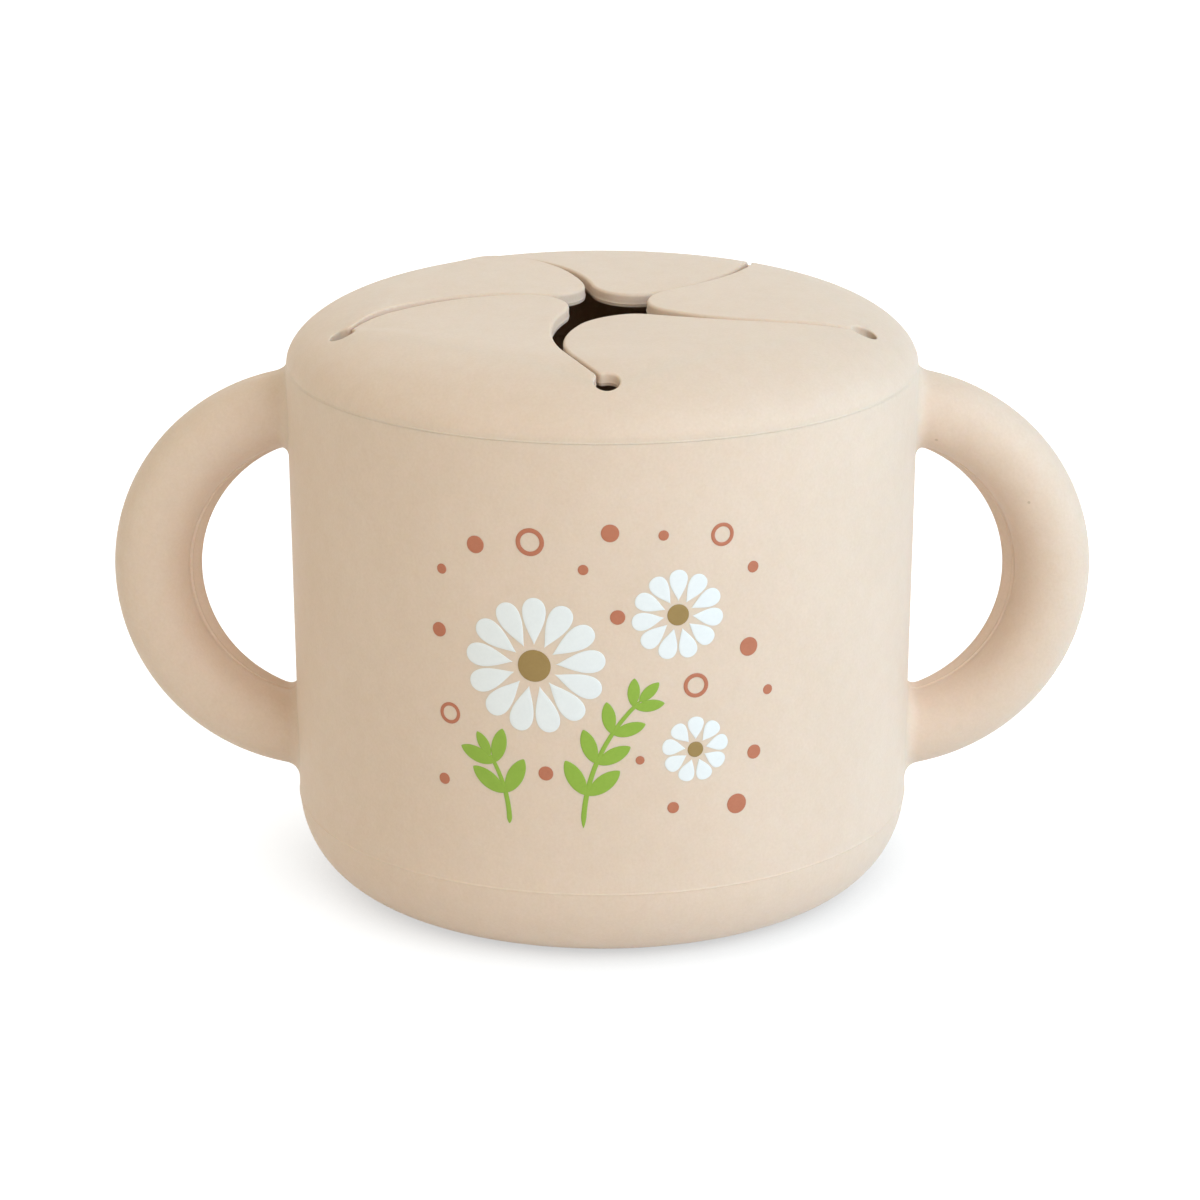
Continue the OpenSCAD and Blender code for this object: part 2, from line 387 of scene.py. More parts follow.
handle = {
    "tube": ringBox[1].y,
    "fillet": 2.1,
    "line": 0.08,             # the mould line inside the ring
    "lineWidth": 0.13,
    "outerLine": 0.06,
    "step": 0.34,             # how far the rear half of the moulding stands further in at that line
    "stepWidth": 0.09,
    "rearHalf": 1.7,          # and behind it
    "rearFull": 0.4,          # how far back that is reached, as a share of the tube
    "rearSpan": 0.85,         # less than 1 takes it further along the ring
    "rearTurn": 5,            # degrees up the ring to where it is largest
    "furthest": 115,          # degrees from the ring's outermost point within which it meets the wall
    "halvings": 40,
    "buried": 0.02,           # how far the feet of the fillets lie under the wall's surface
    "underSeam": 0.06,        # how far they stay below the seam
    "crowding": 0.43,         # draws the columns to the mould lines
    "columns": 112,
    "rows": 72,
    "filletRows": 9,
}
ringRadius = (ringBox[1].z - ringBox[0].z) / 2 - handle["tube"]
ringHeight = (ringBox[1].z + ringBox[0].z) / 2
ringOut = ringBox[1].x - ringRadius - handle["tube"]


# A point of the right handle: around its tube from the outside, and along the ring from its outermost point
def tubePoint(around, along):
    tube = handle["tube"] - handle["outerLine"]
    innerSide = (around - pi) * tube
    tube += handle["line"] * exp(-((innerSide / handle["lineWidth"]) ** 2))
    outside = min(around, 2 * pi - around) * tube
    tube += handle["outerLine"] * exp(-((outside / handle["lineWidth"]) ** 2))
    reach = tube * cos(around)
    back = tube * sin(around) / handle["tube"]
    if cos(around) < 0 < back:
        full = handle["rearFull"]
        further = handle["step"] * smoothStep(back * tube / handle["stepWidth"])
        further += handle["rearHalf"] * smoothStep(back / full)
        further *= max(0, cos(handle["rearSpan"] * (along - radians(handle["rearTurn"]))))
        reach -= further * (1 - smoothStep((back - full) / (1 - full)))
    r = ringRadius + reach
    return Vector((ringOut + r * cos(along), tube * sin(around), ringHeight + r * sin(along)))


# How far along the ring the tube reaches the cup's wall, down or up
def meetsWall(around, way):
    near, far = 0.0, radians(handle["furthest"])
    for _ in range(handle["halvings"]):
        middle = (near + far) / 2
        p = tubePoint(around, way * middle)
        if hypot(p.x, p.y) > wallRadius(p.z):
            near = middle
        else:
            far = middle
    return way * near


# Where the fillet outside that point ends on the wall
def wallFoot(point, way):
    r = hypot(point.x, point.y)
    middle = ringHeight + way * sqrt(ringRadius ** 2 - (r - ringOut) ** 2)
    across, up = atan2(point.y, point.x) * r, point.z - middle
    size = hypot(across, up)
    z = min(point.z + up / size * handle["fillet"], seamHeight - handle["underSeam"])
    angle = (across + across / size * handle["fillet"]) / r
    r = wallRadius(z) - handle["buried"]
    return Vector((r * cos(angle), r * sin(angle), z))


def handleColumn(column):
    turn = 2 * pi * column / handle["columns"]
    around = turn - handle["crowding"] * sin(2 * turn)
    ends = [meetsWall(around, way) for way in (-1, 1)]
    reach = ringRadius + handle["tube"] * cos(around)
    stops = [ends[0] + handle["fillet"] / reach, ends[1] - handle["fillet"] / reach]
    corners = [tubePoint(around, end) for end in ends]
    feet = [wallFoot(corner, way) for corner, way in zip(corners, (-1, 1))]
    count = handle["filletRows"]

    def filletLine(foot, corner, stop):
        made = []
        for i in range(count):
            t = i / count
            made.append(foot * (1 - t) ** 2 + corner * 2 * t * (1 - t) + stop * t * t)
        return made
    line = filletLine(feet[0], corners[0], tubePoint(around, stops[0]))
    line += [tubePoint(around, mix(*stops, i / handle["rows"])) for i in range(handle["rows"] + 1)]
    line += filletLine(feet[1], corners[1], tubePoint(around, stops[1]))[::-1]
    return line


def makeHandle(name, side, node):
    lines = [handleColumn(column) for column in range(handle["columns"])]
    rows = len(lines[0]) - 1

    def place(column, row):
        p = lines[column % handle["columns"]][row]
        meets = Vector((p.x, p.y, 0)).normalized() if row in (0, rows) else noNormal
        return Vector((side * p.x, p.y, p.z)), Vector((side * meets.x, meets.y, 0))
    bm = mappedGrid(handle["columns"], rows, place)
    capEnds(bm)
    return finishPiece(bm, name, siliconeFinish, [node], "cup")


makeHandle("handleLeft", -1, "handle_left")
makeHandle("handleRight", 1, "handle_right")
print("handles made")

lid = {
    "thickness": 1.7,
    "shoulderWidth": 15.2,
    "shoulderHeight": 7.6,
    "shoulderSteps": 26,
    "crown": 1.7,
    "slitRadius": 28.5,
    "roundSide": 3.1,         # how far from the middle the flaps' round sides would pass
    "hollowSide": 0.2,        # and their hollow sides
    "slitGap": 0.32,
    "holeRadius": 1.7,
    "tipRadius": 5.9,
    "roundCorner": 0.4,       # rounding of the corners where hole and slit meet, on the round side
    "hollowCorner": 0.55,     # and on the hollow side
    "holeRound": 0.3,         # rounding of the upper edge at the holes
    "slitRound": 0.42,        # and along the slits
    "roundRows": 20,          # rows over which the one turns into the other
    "lowRound": 0.16,
    "mouldLine": 0.06,        # how far the line in the slits' walls stands out
    "mouldHeight": 0.5,
    "mouldWidth": 0.12,
    "edge": 0.09,             # how far the fine bead along the lid's lower edge stands out
    "edgeTop": 0.3,           # how much of the shoulder's height is left where the bead starts
    "edgeShape": ((1, 0.28), (0.3, 0.19), (0, 0.13), (0, 0.05), (0.6, 0)),       # share drawn in, height
    "seat": 1.2,
    "plugGap": 0.35,
    "plugWall": 2.0,
    "plugRoot": ((0.35, 0), (0.1, 0.1), (0, 0.35)),                              # out from the plug, down
    "plugCorner": ((0, 0.6), (0.18, 0.18), (0.6, 0)),                            # in from its walls, height
    "plugInside": (3, 6),     # heights
    "bead": 0.2,
    "beadShape": ((0, 4.6), (0.5, 4.2), (1, 3.7), (1, 3.3), (0.5, 2.8), (0, 2.4)),         # share, height
    "underSteps": 14,
    "underCorner": 0.35,      # how far in from the plug the lid's underside starts
    "underShare": 0.6,        # but at most this share of the way to the hole
    "underShape": ((0, 1.2), (0.3, 0.5)),                                        # share of that way, down
    "holeMargin": 0.3,        # least way from the edge of a hole out to the plug's inside
    "seamColumns": 52,
    "holeColumns": 18,
    "holeRows": 12,
    "slitRows": 64,
}
flap = {
    "thickness": 1.95,
    "thickens": 4,            # width of the stretch over which it gets that thickness
    "bend": 6,                # width of the stretch that bends
    "reach": 30,              # distance from the bending line to the middle of the lid
    "twistWidth": 10,         # the width that the twist is stated for
    "sideRise": 2.5,          # where a side that stands up has risen, where it starts to sink, and over what
    "sideSinks": 9,
    "sideFade": 14,
    "asideCurve": 1.5,        # the power by which the tip goes aside and inward
    "smoothing": 40,
}
# How the five flaps have set: lift in degrees, then in mm their curl, twist, the tip's way aside and inward,
# and how far the round and the hollow side stand up near their holes
restShapes = [
    {"lift": 0.8, "curl": -2.5, "twist": 0.75, "aside": -0.1, "inward": 0, "sides": (0, 0)},
    {"lift": 2.2, "curl": -1.9, "twist": 0.25, "aside": -0.2, "inward": -0.5, "sides": (0, 0)},
    {"lift": 0.6, "curl": -1.7, "twist": 0.2, "aside": 1.1, "inward": 0, "sides": (0, 0)},
    {"lift": 2.2, "curl": -2.4, "twist": -0.5, "aside": -0.1, "inward": 0.4, "sides": (0, 0.3)},
    {"lift": -1.1, "curl": 0.54, "twist": -0.25, "aside": -0.35, "inward": -0.2, "sides": (-0.32, 0)},
]
hinges = [joint for joint in frame["joints"] if joint["name"].startswith("flap")]
hingePlace = Vector(hinges[0]["pos_m"]) / mm
hingeReach = hypot(hingePlace.x, hingePlace.y)
holeReach = hingeReach / cos(pi / 5)
hingeLength = 2 * hingeReach * tan(pi / 5)
hingeHeight = hingePlace.z
firstTurn = atan2(hingePlace.y, hingePlace.x) + radians(54)
fifth = 2 * pi / 5


def domeHeight(r, depth):
    u = (r - (topRadius - lid["shoulderWidth"])) / (lid["shoulderWidth"] - depth)
    rise = 1 if u <= 0 else sqrt(1 - min(u, 1) ** 2)
    return (seamHeight + (lid["shoulderHeight"] - depth) * rise
            + lid["crown"] * (1 - (r / topRadius) ** 2))


# Plan of flap 1 before the lid's turn: hole 1 is at the front and its bending line runs off at 36 degrees
holeOne = Vector((0, -holeReach))
holeTwo = turned(holeOne, fifth)
alongHinge = turned((1, 0), pi / 5)
inward = turned((0, 1), pi / 5)


def slitMiddle(inner):
    half = (holeReach - inner) / 2
    return Vector((sqrt(lid["slitRadius"] ** 2 - half ** 2), -(holeReach + inner) / 2))


slitCentre = slitMiddle(lid["roundSide"])
nextCentre = turned(slitMiddle(lid["hollowSide"]), fifth)
innerEdge = lid["slitRadius"] - lid["slitGap"] / 2
outerEdge = lid["slitRadius"] + lid["slitGap"] / 2


# The middle of the tip's circle, which touches the circles of both sides
def tipMiddle():
    a, b = innerEdge - lid["tipRadius"], outerEdge + lid["tipRadius"]
    apart = nextCentre - slitCentre
    d = apart.length
    along = apart / d
    s = (a * a - b * b + d * d) / (2 * d)
    return slitCentre + along * s + Vector((-along.y, along.x)) * sqrt(a * a - s * s)


def onCircle(centre, r, angle):
    return centre + Vector((r * cos(angle), r * sin(angle)))


# The angle at which the side of a slit leaves the hole's circle
def holeMeets(hole, centre, r):
    toHole = hole - centre
    d, h = toHole.length, lid["holeRadius"]
    away = (r * r - d * d - h * h) / (2 * h * d)
    return angleOf(toHole) - (pi / 2 - asin(away))


def angleOf(vector):
    return atan2(vector.y, vector.x)


def sweep(centre, r, start, end, count):
    while end - start > pi:
        end -= 2 * pi
    while start - end > pi:
        end += 2 * pi
    return [onCircle(centre, r, mix(start, end, i / count)) for i in range(count + 1)]


# The line with its corners rounded: each point becomes the mean of the stretch around it
def rounded(line, reach):
    lengths = [0]
    for a, b in zip(line, line[1:]):
        lengths.append(lengths[-1] + (b - a).length)

    def at(s):
        s = min(max(s, 0), lengths[-1])
        i = 0
        while i < len(line) - 2 and lengths[i + 1] < s:
            i += 1
        return line[i].lerp(line[i + 1], (s - lengths[i]) / max(lengths[i + 1] - lengths[i], 1e-9))
    made = []
    for s in lengths:
        h = min(reach, s, lengths[-1] - s)
        samples = [at(s + h * k / 4) for k in range(-4, 5)]
        made.append(sum(samples, Vector((0, 0))) / len(samples))
    return made


# The round side, the hollow side and the tip of a flap in plan
def flapSides():
    tip = tipMiddle()
    rows, slits = lid["holeRows"], lid["slitRows"]
    h = lid["holeRadius"]
    start = holeMeets(holeOne, slitCentre, innerEdge)
    left = sweep(holeOne, h, 0, start, rows)
    left += sweep(slitCentre, innerEdge, angleOf(left[-1] - slitCentre), angleOf(tip - slitCentre), slits)[1:]
    start = holeMeets(holeTwo, nextCentre, outerEdge)
    right = sweep(holeTwo, h, pi + fifth, start, rows)
    right += sweep(nextCentre, outerEdge, angleOf(right[-1] - nextCentre),
                   angleOf(tip - nextCentre), slits)[1:]
    end = sweep(tip, lid["tipRadius"], angleOf(left[-1] - tip), angleOf(right[-1] - tip), lid["seamColumns"])
    return rounded(left, lid["roundCorner"]), rounded(right, lid["hollowCorner"]), end


leftSide, rightSide, tipSide = flapSides()
sideRows = len(leftSide) - 1
tipColumns = lid["seamColumns"]


def inwardNormals(line, sign):
    made = []
    for i in range(len(line)):
        a, b = line[max(i - 1, 0)], line[min(i + 1, len(line) - 1)]
        d = (b - a).normalized()
        made.append(Vector((d.y, -d.x)) * sign)
    return made


leftIn = inwardNormals(leftSide, 1)
rightIn = inwardNormals(rightSide, -1)
tipIn = inwardNormals(tipSide, 1)
leftIn[0] = Vector((1, 0))
rightIn[0] = turned((-1, 0), fifth)
leftIn[-1] = tipIn[0] = (tipMiddle() - leftSide[-1]).normalized()
rightIn[-1] = tipIn[-1] = (tipMiddle() - rightSide[-1]).normalized()

seam = {
    "straight": 0.35,
    "ends": 1.4,
    "crowding": 0.6,          # draws the columns to the holes
}


# A point of the line where rim and flap run on into each other, from hole 1 to hole 2
def seamPoint(t, inset):
    slope = tan(pi / 5)
    h = lid["holeRadius"]
    first = h * cos(pi / 5)
    low = -h * sin(pi / 5)
    start = (h + inset) * cos(pi / 5)
    t = mix(t, (1 - cos(pi * t)) / 2, seam["crowding"])
    x = mix(start, hingeLength - start, t)
    q = min(x, hingeLength - x) - first
    q0, q1 = seam["straight"], seam["ends"]
    y = low - slope * min(q, q0)
    if q > q0:
        p = min(q, q1) - q0
        y -= slope * (p - p * p / (2 * (q1 - q0)))
    return holeOne + alongHinge * x + inward * y


# From the upper surface over the rounded edge and down the wall: way in from the edge, and depth
def edgeLevels(upper, thick):
    low, width = lid["lowRound"], lid["mouldWidth"]
    line = thick - lid["mouldHeight"]
    made = [(upper * (1 - sin(a)), upper * (1 - cos(a))) for a in (radians(15 * i) for i in range(7))]
    made += [(0, mix(upper, line, 0.6)), (0, line - width), (-lid["mouldLine"], line), (0, line + width)]
    made += [(low * (1 - cos(a)), thick - low * (1 - sin(a))) for a in (radians(30 * i) for i in range(4))]
    return made


levelCount = len(edgeLevels(lid["holeRound"], lid["thickness"])) - 1


def upperRound(row):
    return mix(lid["holeRound"], lid["slitRound"], smoothStep((row - lid["holeRows"]) / lid["roundRows"]))


def flapThick(point):
    reach = (point - holeOne).dot(inward)
    return mix(lid["thickness"], flap["thickness"], smoothStep(reach / flap["thickens"]))


def sidePoint(line, normals, i, upper, level):
    inset, depth = edgeLevels(upper, flapThick(line[i]))[level]
    return line[i] + normals[i] * inset, depth


def edgePoint(column, row, level):
    if row == 0:
        inset, depth = edgeLevels(lid["holeRound"], lid["thickness"])[level]
        return seamPoint(column / tipColumns, inset), depth
    if row == sideRows:
        return sidePoint(tipSide, tipIn, column, lid["slitRound"], level)
    if column == 0:
        return sidePoint(leftSide, leftIn, row, upperRound(row), level)
    return sidePoint(rightSide, rightIn, row, upperRound(row), level)


# How far along the sides each row lies, from 0 to 1
def sideShares():
    lengths = [0]
    for i in range(sideRows):
        lengths.append(lengths[-1] + (leftSide[i + 1] - leftSide[i]).length
                       + (rightSide[i + 1] - rightSide[i]).length)
    return [length / lengths[-1] for length in lengths]


shares = sideShares()


# The points of a flap's upper or lower surface in plan
def planGrid(level):
    columns, rows = range(tipColumns + 1), range(sideRows + 1)
    bottom, top = ([edgePoint(c, r, level)[0] for c in columns] for r in (0, sideRows))
    left, right = ([edgePoint(c, r, level)[0] for r in rows] for c in (0, tipColumns))
    grid = []
    for row, v in enumerate(shares):
        line = []
        first = bottom[0] * (1 - v) + top[0] * v
        last = bottom[-1] * (1 - v) + top[-1] * v
        for column in columns:
            u = column / tipColumns
            across = left[row] * (1 - u) + right[row] * u
            along = bottom[column] * (1 - v) + top[column] * v
            corners = first * (1 - u) + last * u
            line.append(across + along - corners)
        grid.append(line)
    for _ in range(flap["smoothing"]):               # evens out the grid, so that it folds nowhere
        for row in range(1, sideRows):
            over, here, under = grid[row - 1], grid[row], grid[row + 1]
            for column in range(1, tipColumns):
                east, west = here[column + 1], here[column - 1]
                north, south = under[column], over[column]
                p, q = (east - west) / 2, (north - south) / 2
                cross = under[column + 1] - under[column - 1] - over[column + 1] + over[column - 1]
                a, b, c = q.dot(q), p.dot(q), p.dot(p)
                here[column] = ((east + west) * a + (north + south) * c - cross * b / 2) / (2 * (a + c))
    return grid


# A point of the plan on the lid's dome, moved as its flap has set
def onDome(point, depth, rest=None):
    x = (point - holeOne).dot(alongHinge)
    y = (point - holeOne).dot(inward)
    z = domeHeight(point.length, depth) - hingeHeight
    if rest and y > 0:
        reach = y / flap["reach"]
        bent = smoothStep(y / flap["bend"])
        angle = radians(rest["lift"]) * bent
        halfway = 2 * x / hingeLength - 1
        rise = rest["sides"][0] * smoothStep(-halfway) + rest["sides"][1] * smoothStep(halfway)
        sunk = smoothStep((y - flap["sideSinks"]) / flap["sideFade"])
        z += rise * smoothStep(y / flap["sideRise"]) * (1 - sunk)
        twist = rest["twist"] * (x - hingeLength / 2) / flap["twistWidth"]
        z += rest["curl"] * reach ** 2 + twist * reach * bent
        x += rest["aside"] * reach ** flap["asideCurve"]
        y += rest["inward"] * reach ** flap["asideCurve"]
        y, z = y * cos(angle) - z * sin(angle), y * sin(angle) + z * cos(angle)
    plan = holeOne + alongHinge * x + inward * y
    return Vector((plan.x, plan.y, z + hingeHeight))


def lidTurned(vector, index):
    return Matrix.Rotation(firstTurn + fifth * index, 3, "Z") @ vector


def domeNormal(point, depth):
    step = 0.02
    shifts = (Vector((0, 0)), Vector((step, 0)), Vector((0, step)))
    a, b, c = (onDome(point + shift, depth) for shift in shifts)
    return (b - a).cross(c - a).normalized()


planGrids = {level: planGrid(level) for level in (0, levelCount)}


def makeFlap(index):
    rest = restShapes[index]
    bm = newMesh()
    bmesh.ops.create_grid(bm, x_segments=tipColumns, y_segments=sideRows, size=0.5)
    under = bmesh.ops.extrude_face_region(bm, geom=bm.faces[:])
    underVerts = [item for item in under["geom"] if isinstance(item, bmesh.types.BMVert)]
    bmesh.ops.translate(bm, verts=underVerts, vec=(0, 0, -1))
    upright = [edge for edge in bm.edges if abs(edge.verts[0].co.z - edge.verts[1].co.z) > 0.5]
    bmesh.ops.subdivide_edges(bm, edges=upright, cuts=levelCount - 1)
    layer = bm.verts.layers.float_vector["meets"]
    for vert in bm.verts:
        column = round((vert.co.x + 0.5) * tipColumns)
        row = round((vert.co.y + 0.5) * sideRows)
        level = round(-vert.co.z * levelCount)
        if column in (0, tipColumns) or row in (0, sideRows):
            point, depth = edgePoint(column, row, level)
        else:
            point = planGrids[level][row][column]
            depth = 0 if level == 0 else flapThick(point)
        vert.co = lidTurned(onDome(point, depth, rest), index)
        if row == 0 and level in (0, levelCount):
            normal = domeNormal(point, depth)
            vert[layer] = lidTurned(normal if level == 0 else -normal, index)
    name = "flap" + str(index + 1)
    piece = finishPiece(bm, name, siliconeFinish, ["flap_" + str(index + 1)])
    start = lidTurned(Vector((*(holeOne + alongHinge * hingeLength / 2), hingeHeight)), index)
    end = start + lidTurned(Vector((*(inward * flap["bend"]), 0)), index)
    start * mm
    end * mm
    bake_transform(piece)
    return piece


for index in range(len(restShapes)):
    makeFlap(index)
print("flaps made")


# A fifth of the rim's inner edge at one level: along the seam of a flap, and round the hole after it
def rimLoop(level):
    inset, depth = edgeLevels(lid["holeRound"], lid["thickness"])[level]
    points = [seamPoint(i / tipColumns, inset) for i in range(tipColumns)]
    h, count = lid["holeRadius"] + inset, lid["holeColumns"]
    points += [onCircle(holeTwo, h, pi + fifth + pi * i / count) for i in range(count)]
    return points, depth


def shoulderProfile(inner):
    width, steps = lid["shoulderWidth"], lid["shoulderSteps"]
    shoulder = topRadius - width
    start = asin(min(max((inner - shoulder) / width, 0), 1))
    end = asin(sqrt(1 - (lid["edgeTop"] / lid["shoulderHeight"]) ** 2))
    radii = [shoulder + width * sin(mix(start, end, i / steps)) for i in range(1, steps + 1)]
    return [(min(r, topRadius - lid["edge"]), domeHeight(r, 0)) for r in radii]


# Down the bead on the lid's edge, in along its seat and round the ring that plugs into the cup
def plugProfile(plug, inside):
    low, base = rimBox[0].z, seamHeight + seamGap
    made = [(topRadius - lid["edge"] * share, base + up) for share, up in lid["edgeShape"]]
    made.append((topRadius - lid["seat"], base))
    made += [(plug + out, base - down) for out, down in lid["plugRoot"]]
    made += [(plug + lid["bead"] * share, low + up) for share, up in lid["beadShape"]]
    made += [(plug - way, low + up) for way, up in lid["plugCorner"]]
    made += [(inside + way, low + up) for way, up in lid["plugCorner"][::-1]]
    made += [(inside, low + up) for up in lid["plugInside"]]
    return made


# Under the dome, from the plug ring in to the edge of the flap or hole
def underProfile(inside, lowest):
    thick, steps = lid["thickness"], lid["underSteps"]
    corner = domeHeight(inside, thick)
    reach = min(lid["underCorner"], (inside - lowest) * lid["underShare"])
    made = [(inside - reach * share, corner - down) for share, down in lid["underShape"]]
    radii = [mix(inside - reach, lowest, i / steps) for i in range(steps)]
    return made + [(r, domeHeight(r, thick)) for r in radii]


def rimColumn(column, loops):
    inner = loops[0][0][column]
    lowest = loops[levelCount][0][column].length
    way = angleOf(inner)
    plug = topRadius - cup["wall"] - lid["plugGap"]
    inside = max(plug - lid["plugWall"], lowest + lid["holeMargin"])
    profile = shoulderProfile(inner.length) + plugProfile(plug, inside) + underProfile(inside, lowest)
    rows = [onDome(inner, loops[0][1])]
    rows += [Vector((r * cos(way), r * sin(way), z)) for r, z in profile]
    rows += [onDome(points[column], depth) for points, depth in loops[:0:-1]]
    rows.append(rows[0])
    return rows


def makeRim():
    loops = [rimLoop(level) for level in range(levelCount + 1)]
    count = len(loops[0][0])
    around = len(hinges) * count
    columns = [rimColumn(column, loops) for column in range(count)]
    rows = len(columns[0]) - 1
    lowRow = rows - levelCount

    def place(column, row):
        index, local = divmod(column % around, count)
        point = lidTurned(columns[local][row], index)
        meets = noNormal
        if local <= tipColumns and row in (0, lowRow, rows):
            level = levelCount if row == lowRow else 0
            plan, depth = loops[level][0][local], loops[level][1]
            normal = domeNormal(plan, depth)
            meets = lidTurned(-normal if level else normal, index)
        return point, meets
    bm = mappedGrid(around, rows, place)
    return finishPiece(bm, "lidRim", siliconeFinish, ["lid_rim"], "lid")


makeRim()
print("lid made")

ink = {
    "thickness": 0.075,
    "sunk": 0.04,
    "soft": 0.1,              # width of the soft edge
    "bandSoft": 0.05,         # and of a twig's or ring's
}
flower = {
    "inner": 0.31,            # where the petals start, as a share of the flower's radius
    "middle": 0.62,           # where a petal's own middle lies on its length
    "widest": 0.88,
    "fullness": 1.12,
    "taper": 1.4,
    "points": 56,
    "centre": 0.235,
    "centrePoints": 64,
}
twig = {
    "width": 0.7,
    "widths": (1.05, 0.75),   # shares of that at its foot and at its tip
    "points": 40,
    "taperPoints": 3,
    "endShare": 0.02,         # keeps some width at the very ends
    "leaf": 5.2,
    "leafWidth": 0.21,
    "leafTurn": 40,           # degrees between a leaf and its twig
    "leafSizes": (1.15, 0.1),          # a pair's size: the first, less the second times its number
    "pairsEnd": 0.3,
    "lastPlace": 0.98,
    "lastLeaf": 0.7,
}
berry = {
    "points": 40,
    "ringMiddle": 0.84,
    "ringHalf": 0.16,
}
# Place round the cup, height, radius, petals
flowers = [(-9, 43.5, 9.4, 13), (10, 50.5, 6.2, 11), (12.5, 31.5, 4.6, 9)]
# Place, height, radius of its curve, degrees, pairs of leaves, way
twigs = [(-2.5, 21, 25, 46, 4, -1), (-12.5, 21, 18, 32, 2, 1)]
# Place, height, radius, 1 for a ring
berries = [
    (-22, 55.5, 0.7, 0), (-17, 59.5, 1.2, 0), (-9.5, 60.5, 1.9, 1), (-2.5, 57, 0.7, 0),
    (1, 62, 1.2, 0), (2, 50.5, 1, 0), (8, 61.5, 0.7, 0), (16, 61, 1.6, 1),
    (20.5, 56, 0.8, 0), (20, 45, 1.3, 0), (12.5, 40.5, 1.7, 1), (23, 38.5, 0.7, 0),
    (-22.5, 47, 1, 0), (-21, 35.5, 1.5, 1), (-22, 26, 0.8, 0), (21, 30, 1, 0),
    (18.5, 23, 1.4, 0), (9.5, 23.5, 0.8, 0), (5, 30.5, 0.6, 0), (-7.5, 28.5, 1, 0),
]


# A point of a motif, laid on the cup's wall and lifted off it
def onWall(place, height, point, lift):
    z = height + point.y
    r = wallRadius(z) + lift
    angle = place / wallRadius(height)
    plan = turned((point.x, -sqrt(r * r - point.x ** 2)), angle)
    return Vector((plan.x, plan.y, z))


def inkPatch(bm, place, height, middle, outline):
    thick, sunk, soft = ink["thickness"], -ink["sunk"], ink["soft"]
    count = len(outline)
    # Share of the way from the middle to the outline, way in from there, and lift
    rings = [(0, 0, sunk), (1, 0, sunk), (1, 0, thick * 0.4), (1, soft * 0.3, thick * 0.8), (1, soft, thick),
             (0.75, soft, thick), (0.5, soft, thick), (0.25, 0, thick), (0, 0, thick)]

    def put(column, row):
        share, inset, lift = rings[row]
        reach = (outline[column % count] - middle) * share
        if inset and reach.length > inset * 1.2:
            reach = reach * (1 - inset / reach.length)
        return onWall(place, height, middle + reach, lift), noNormal
    mappedGrid(count, len(rings) - 1, put, bm)


def inkBand(bm, place, height, path, halves, closed=False):
    thick, sunk = ink["thickness"], -ink["sunk"]
    count = len(path)

    def put(column, row):
        i = row % count if closed else row
        a = path[(i - 1) % count] if closed else path[max(i - 1, 0)]
        b = path[(i + 1) % count] if closed else path[min(i + 1, count - 1)]
        d = (b - a).normalized()
        side = Vector((d.y, -d.x))
        half = halves[i]
        soft = min(ink["bandSoft"], half * 0.4)
        section = [(-half, sunk), (-half, thick * 0.5), (-half + soft, thick * 0.9), (0, thick),
                   (half - soft, thick * 0.9), (half, thick * 0.5), (half, sunk), (-half, sunk)]
        across, lift = section[column]
        return onWall(place, height, path[i] + side * across, lift), noNormal
    mappedGrid(7, count if closed else count - 1, put, bm)


def circle(r, points):
    return [onCircle(Vector((0, 0)), r, 2 * pi * i / points) for i in range(points)]


def petalShape(r, petals):
    inner, points = r * flower["inner"], flower["points"]
    half = (r - inner) / 2
    wide = r * flower["widest"] * sin(pi / petals) * flower["fullness"]
    shape = []
    for k in range(points):
        t = 2 * pi * k / points
        across = wide * sin(t) * abs(sin(t / 2)) ** flower["taper"]
        shape.append(Vector((across, (inner + r) / 2 - half * cos(t))))
    return Vector((0, mix(inner, r, flower["middle"]))), shape


def makePetals():
    bm = newMesh()
    for place, height, r, petals in flowers:
        middle, shape = petalShape(r, petals)
        for i in range(petals):
            turn = 2 * pi * i / petals
            inkPatch(bm, place, height, turned(middle, turn), [turned(p, turn) for p in shape])
    return finishPiece(bm, "printPetals", inkFinish["white"], ["print_petals"], "cup")


def makeCentres():
    bm = newMesh()
    for place, height, r, _ in flowers:
        inkPatch(bm, place, height, Vector((0, 0)), circle(r * flower["centre"], flower["centrePoints"]))
    return finishPiece(bm, "printCentres", inkFinish["ochre"], ["print_centres"], "cup")


def leafShape(base, way, length):
    shape = []
    for k in range(twig["points"]):
        t = 2 * pi * k / twig["points"]
        across = length * twig["leafWidth"] * sin(t) * abs(sin(t)) ** 0.5
        shape.append(base + turned(Vector((across, length / 2 * (1 - cos(t)))), way))
    return base + turned((0, length / 2), way), shape


def twigHalf(i):
    points = twig["points"]
    fromEnd = min(i, points - i) / twig["taperPoints"]
    share = min(1, sqrt(fromEnd + twig["endShare"]))
    return twig["width"] / 2 * share * mix(*twig["widths"], i / points)


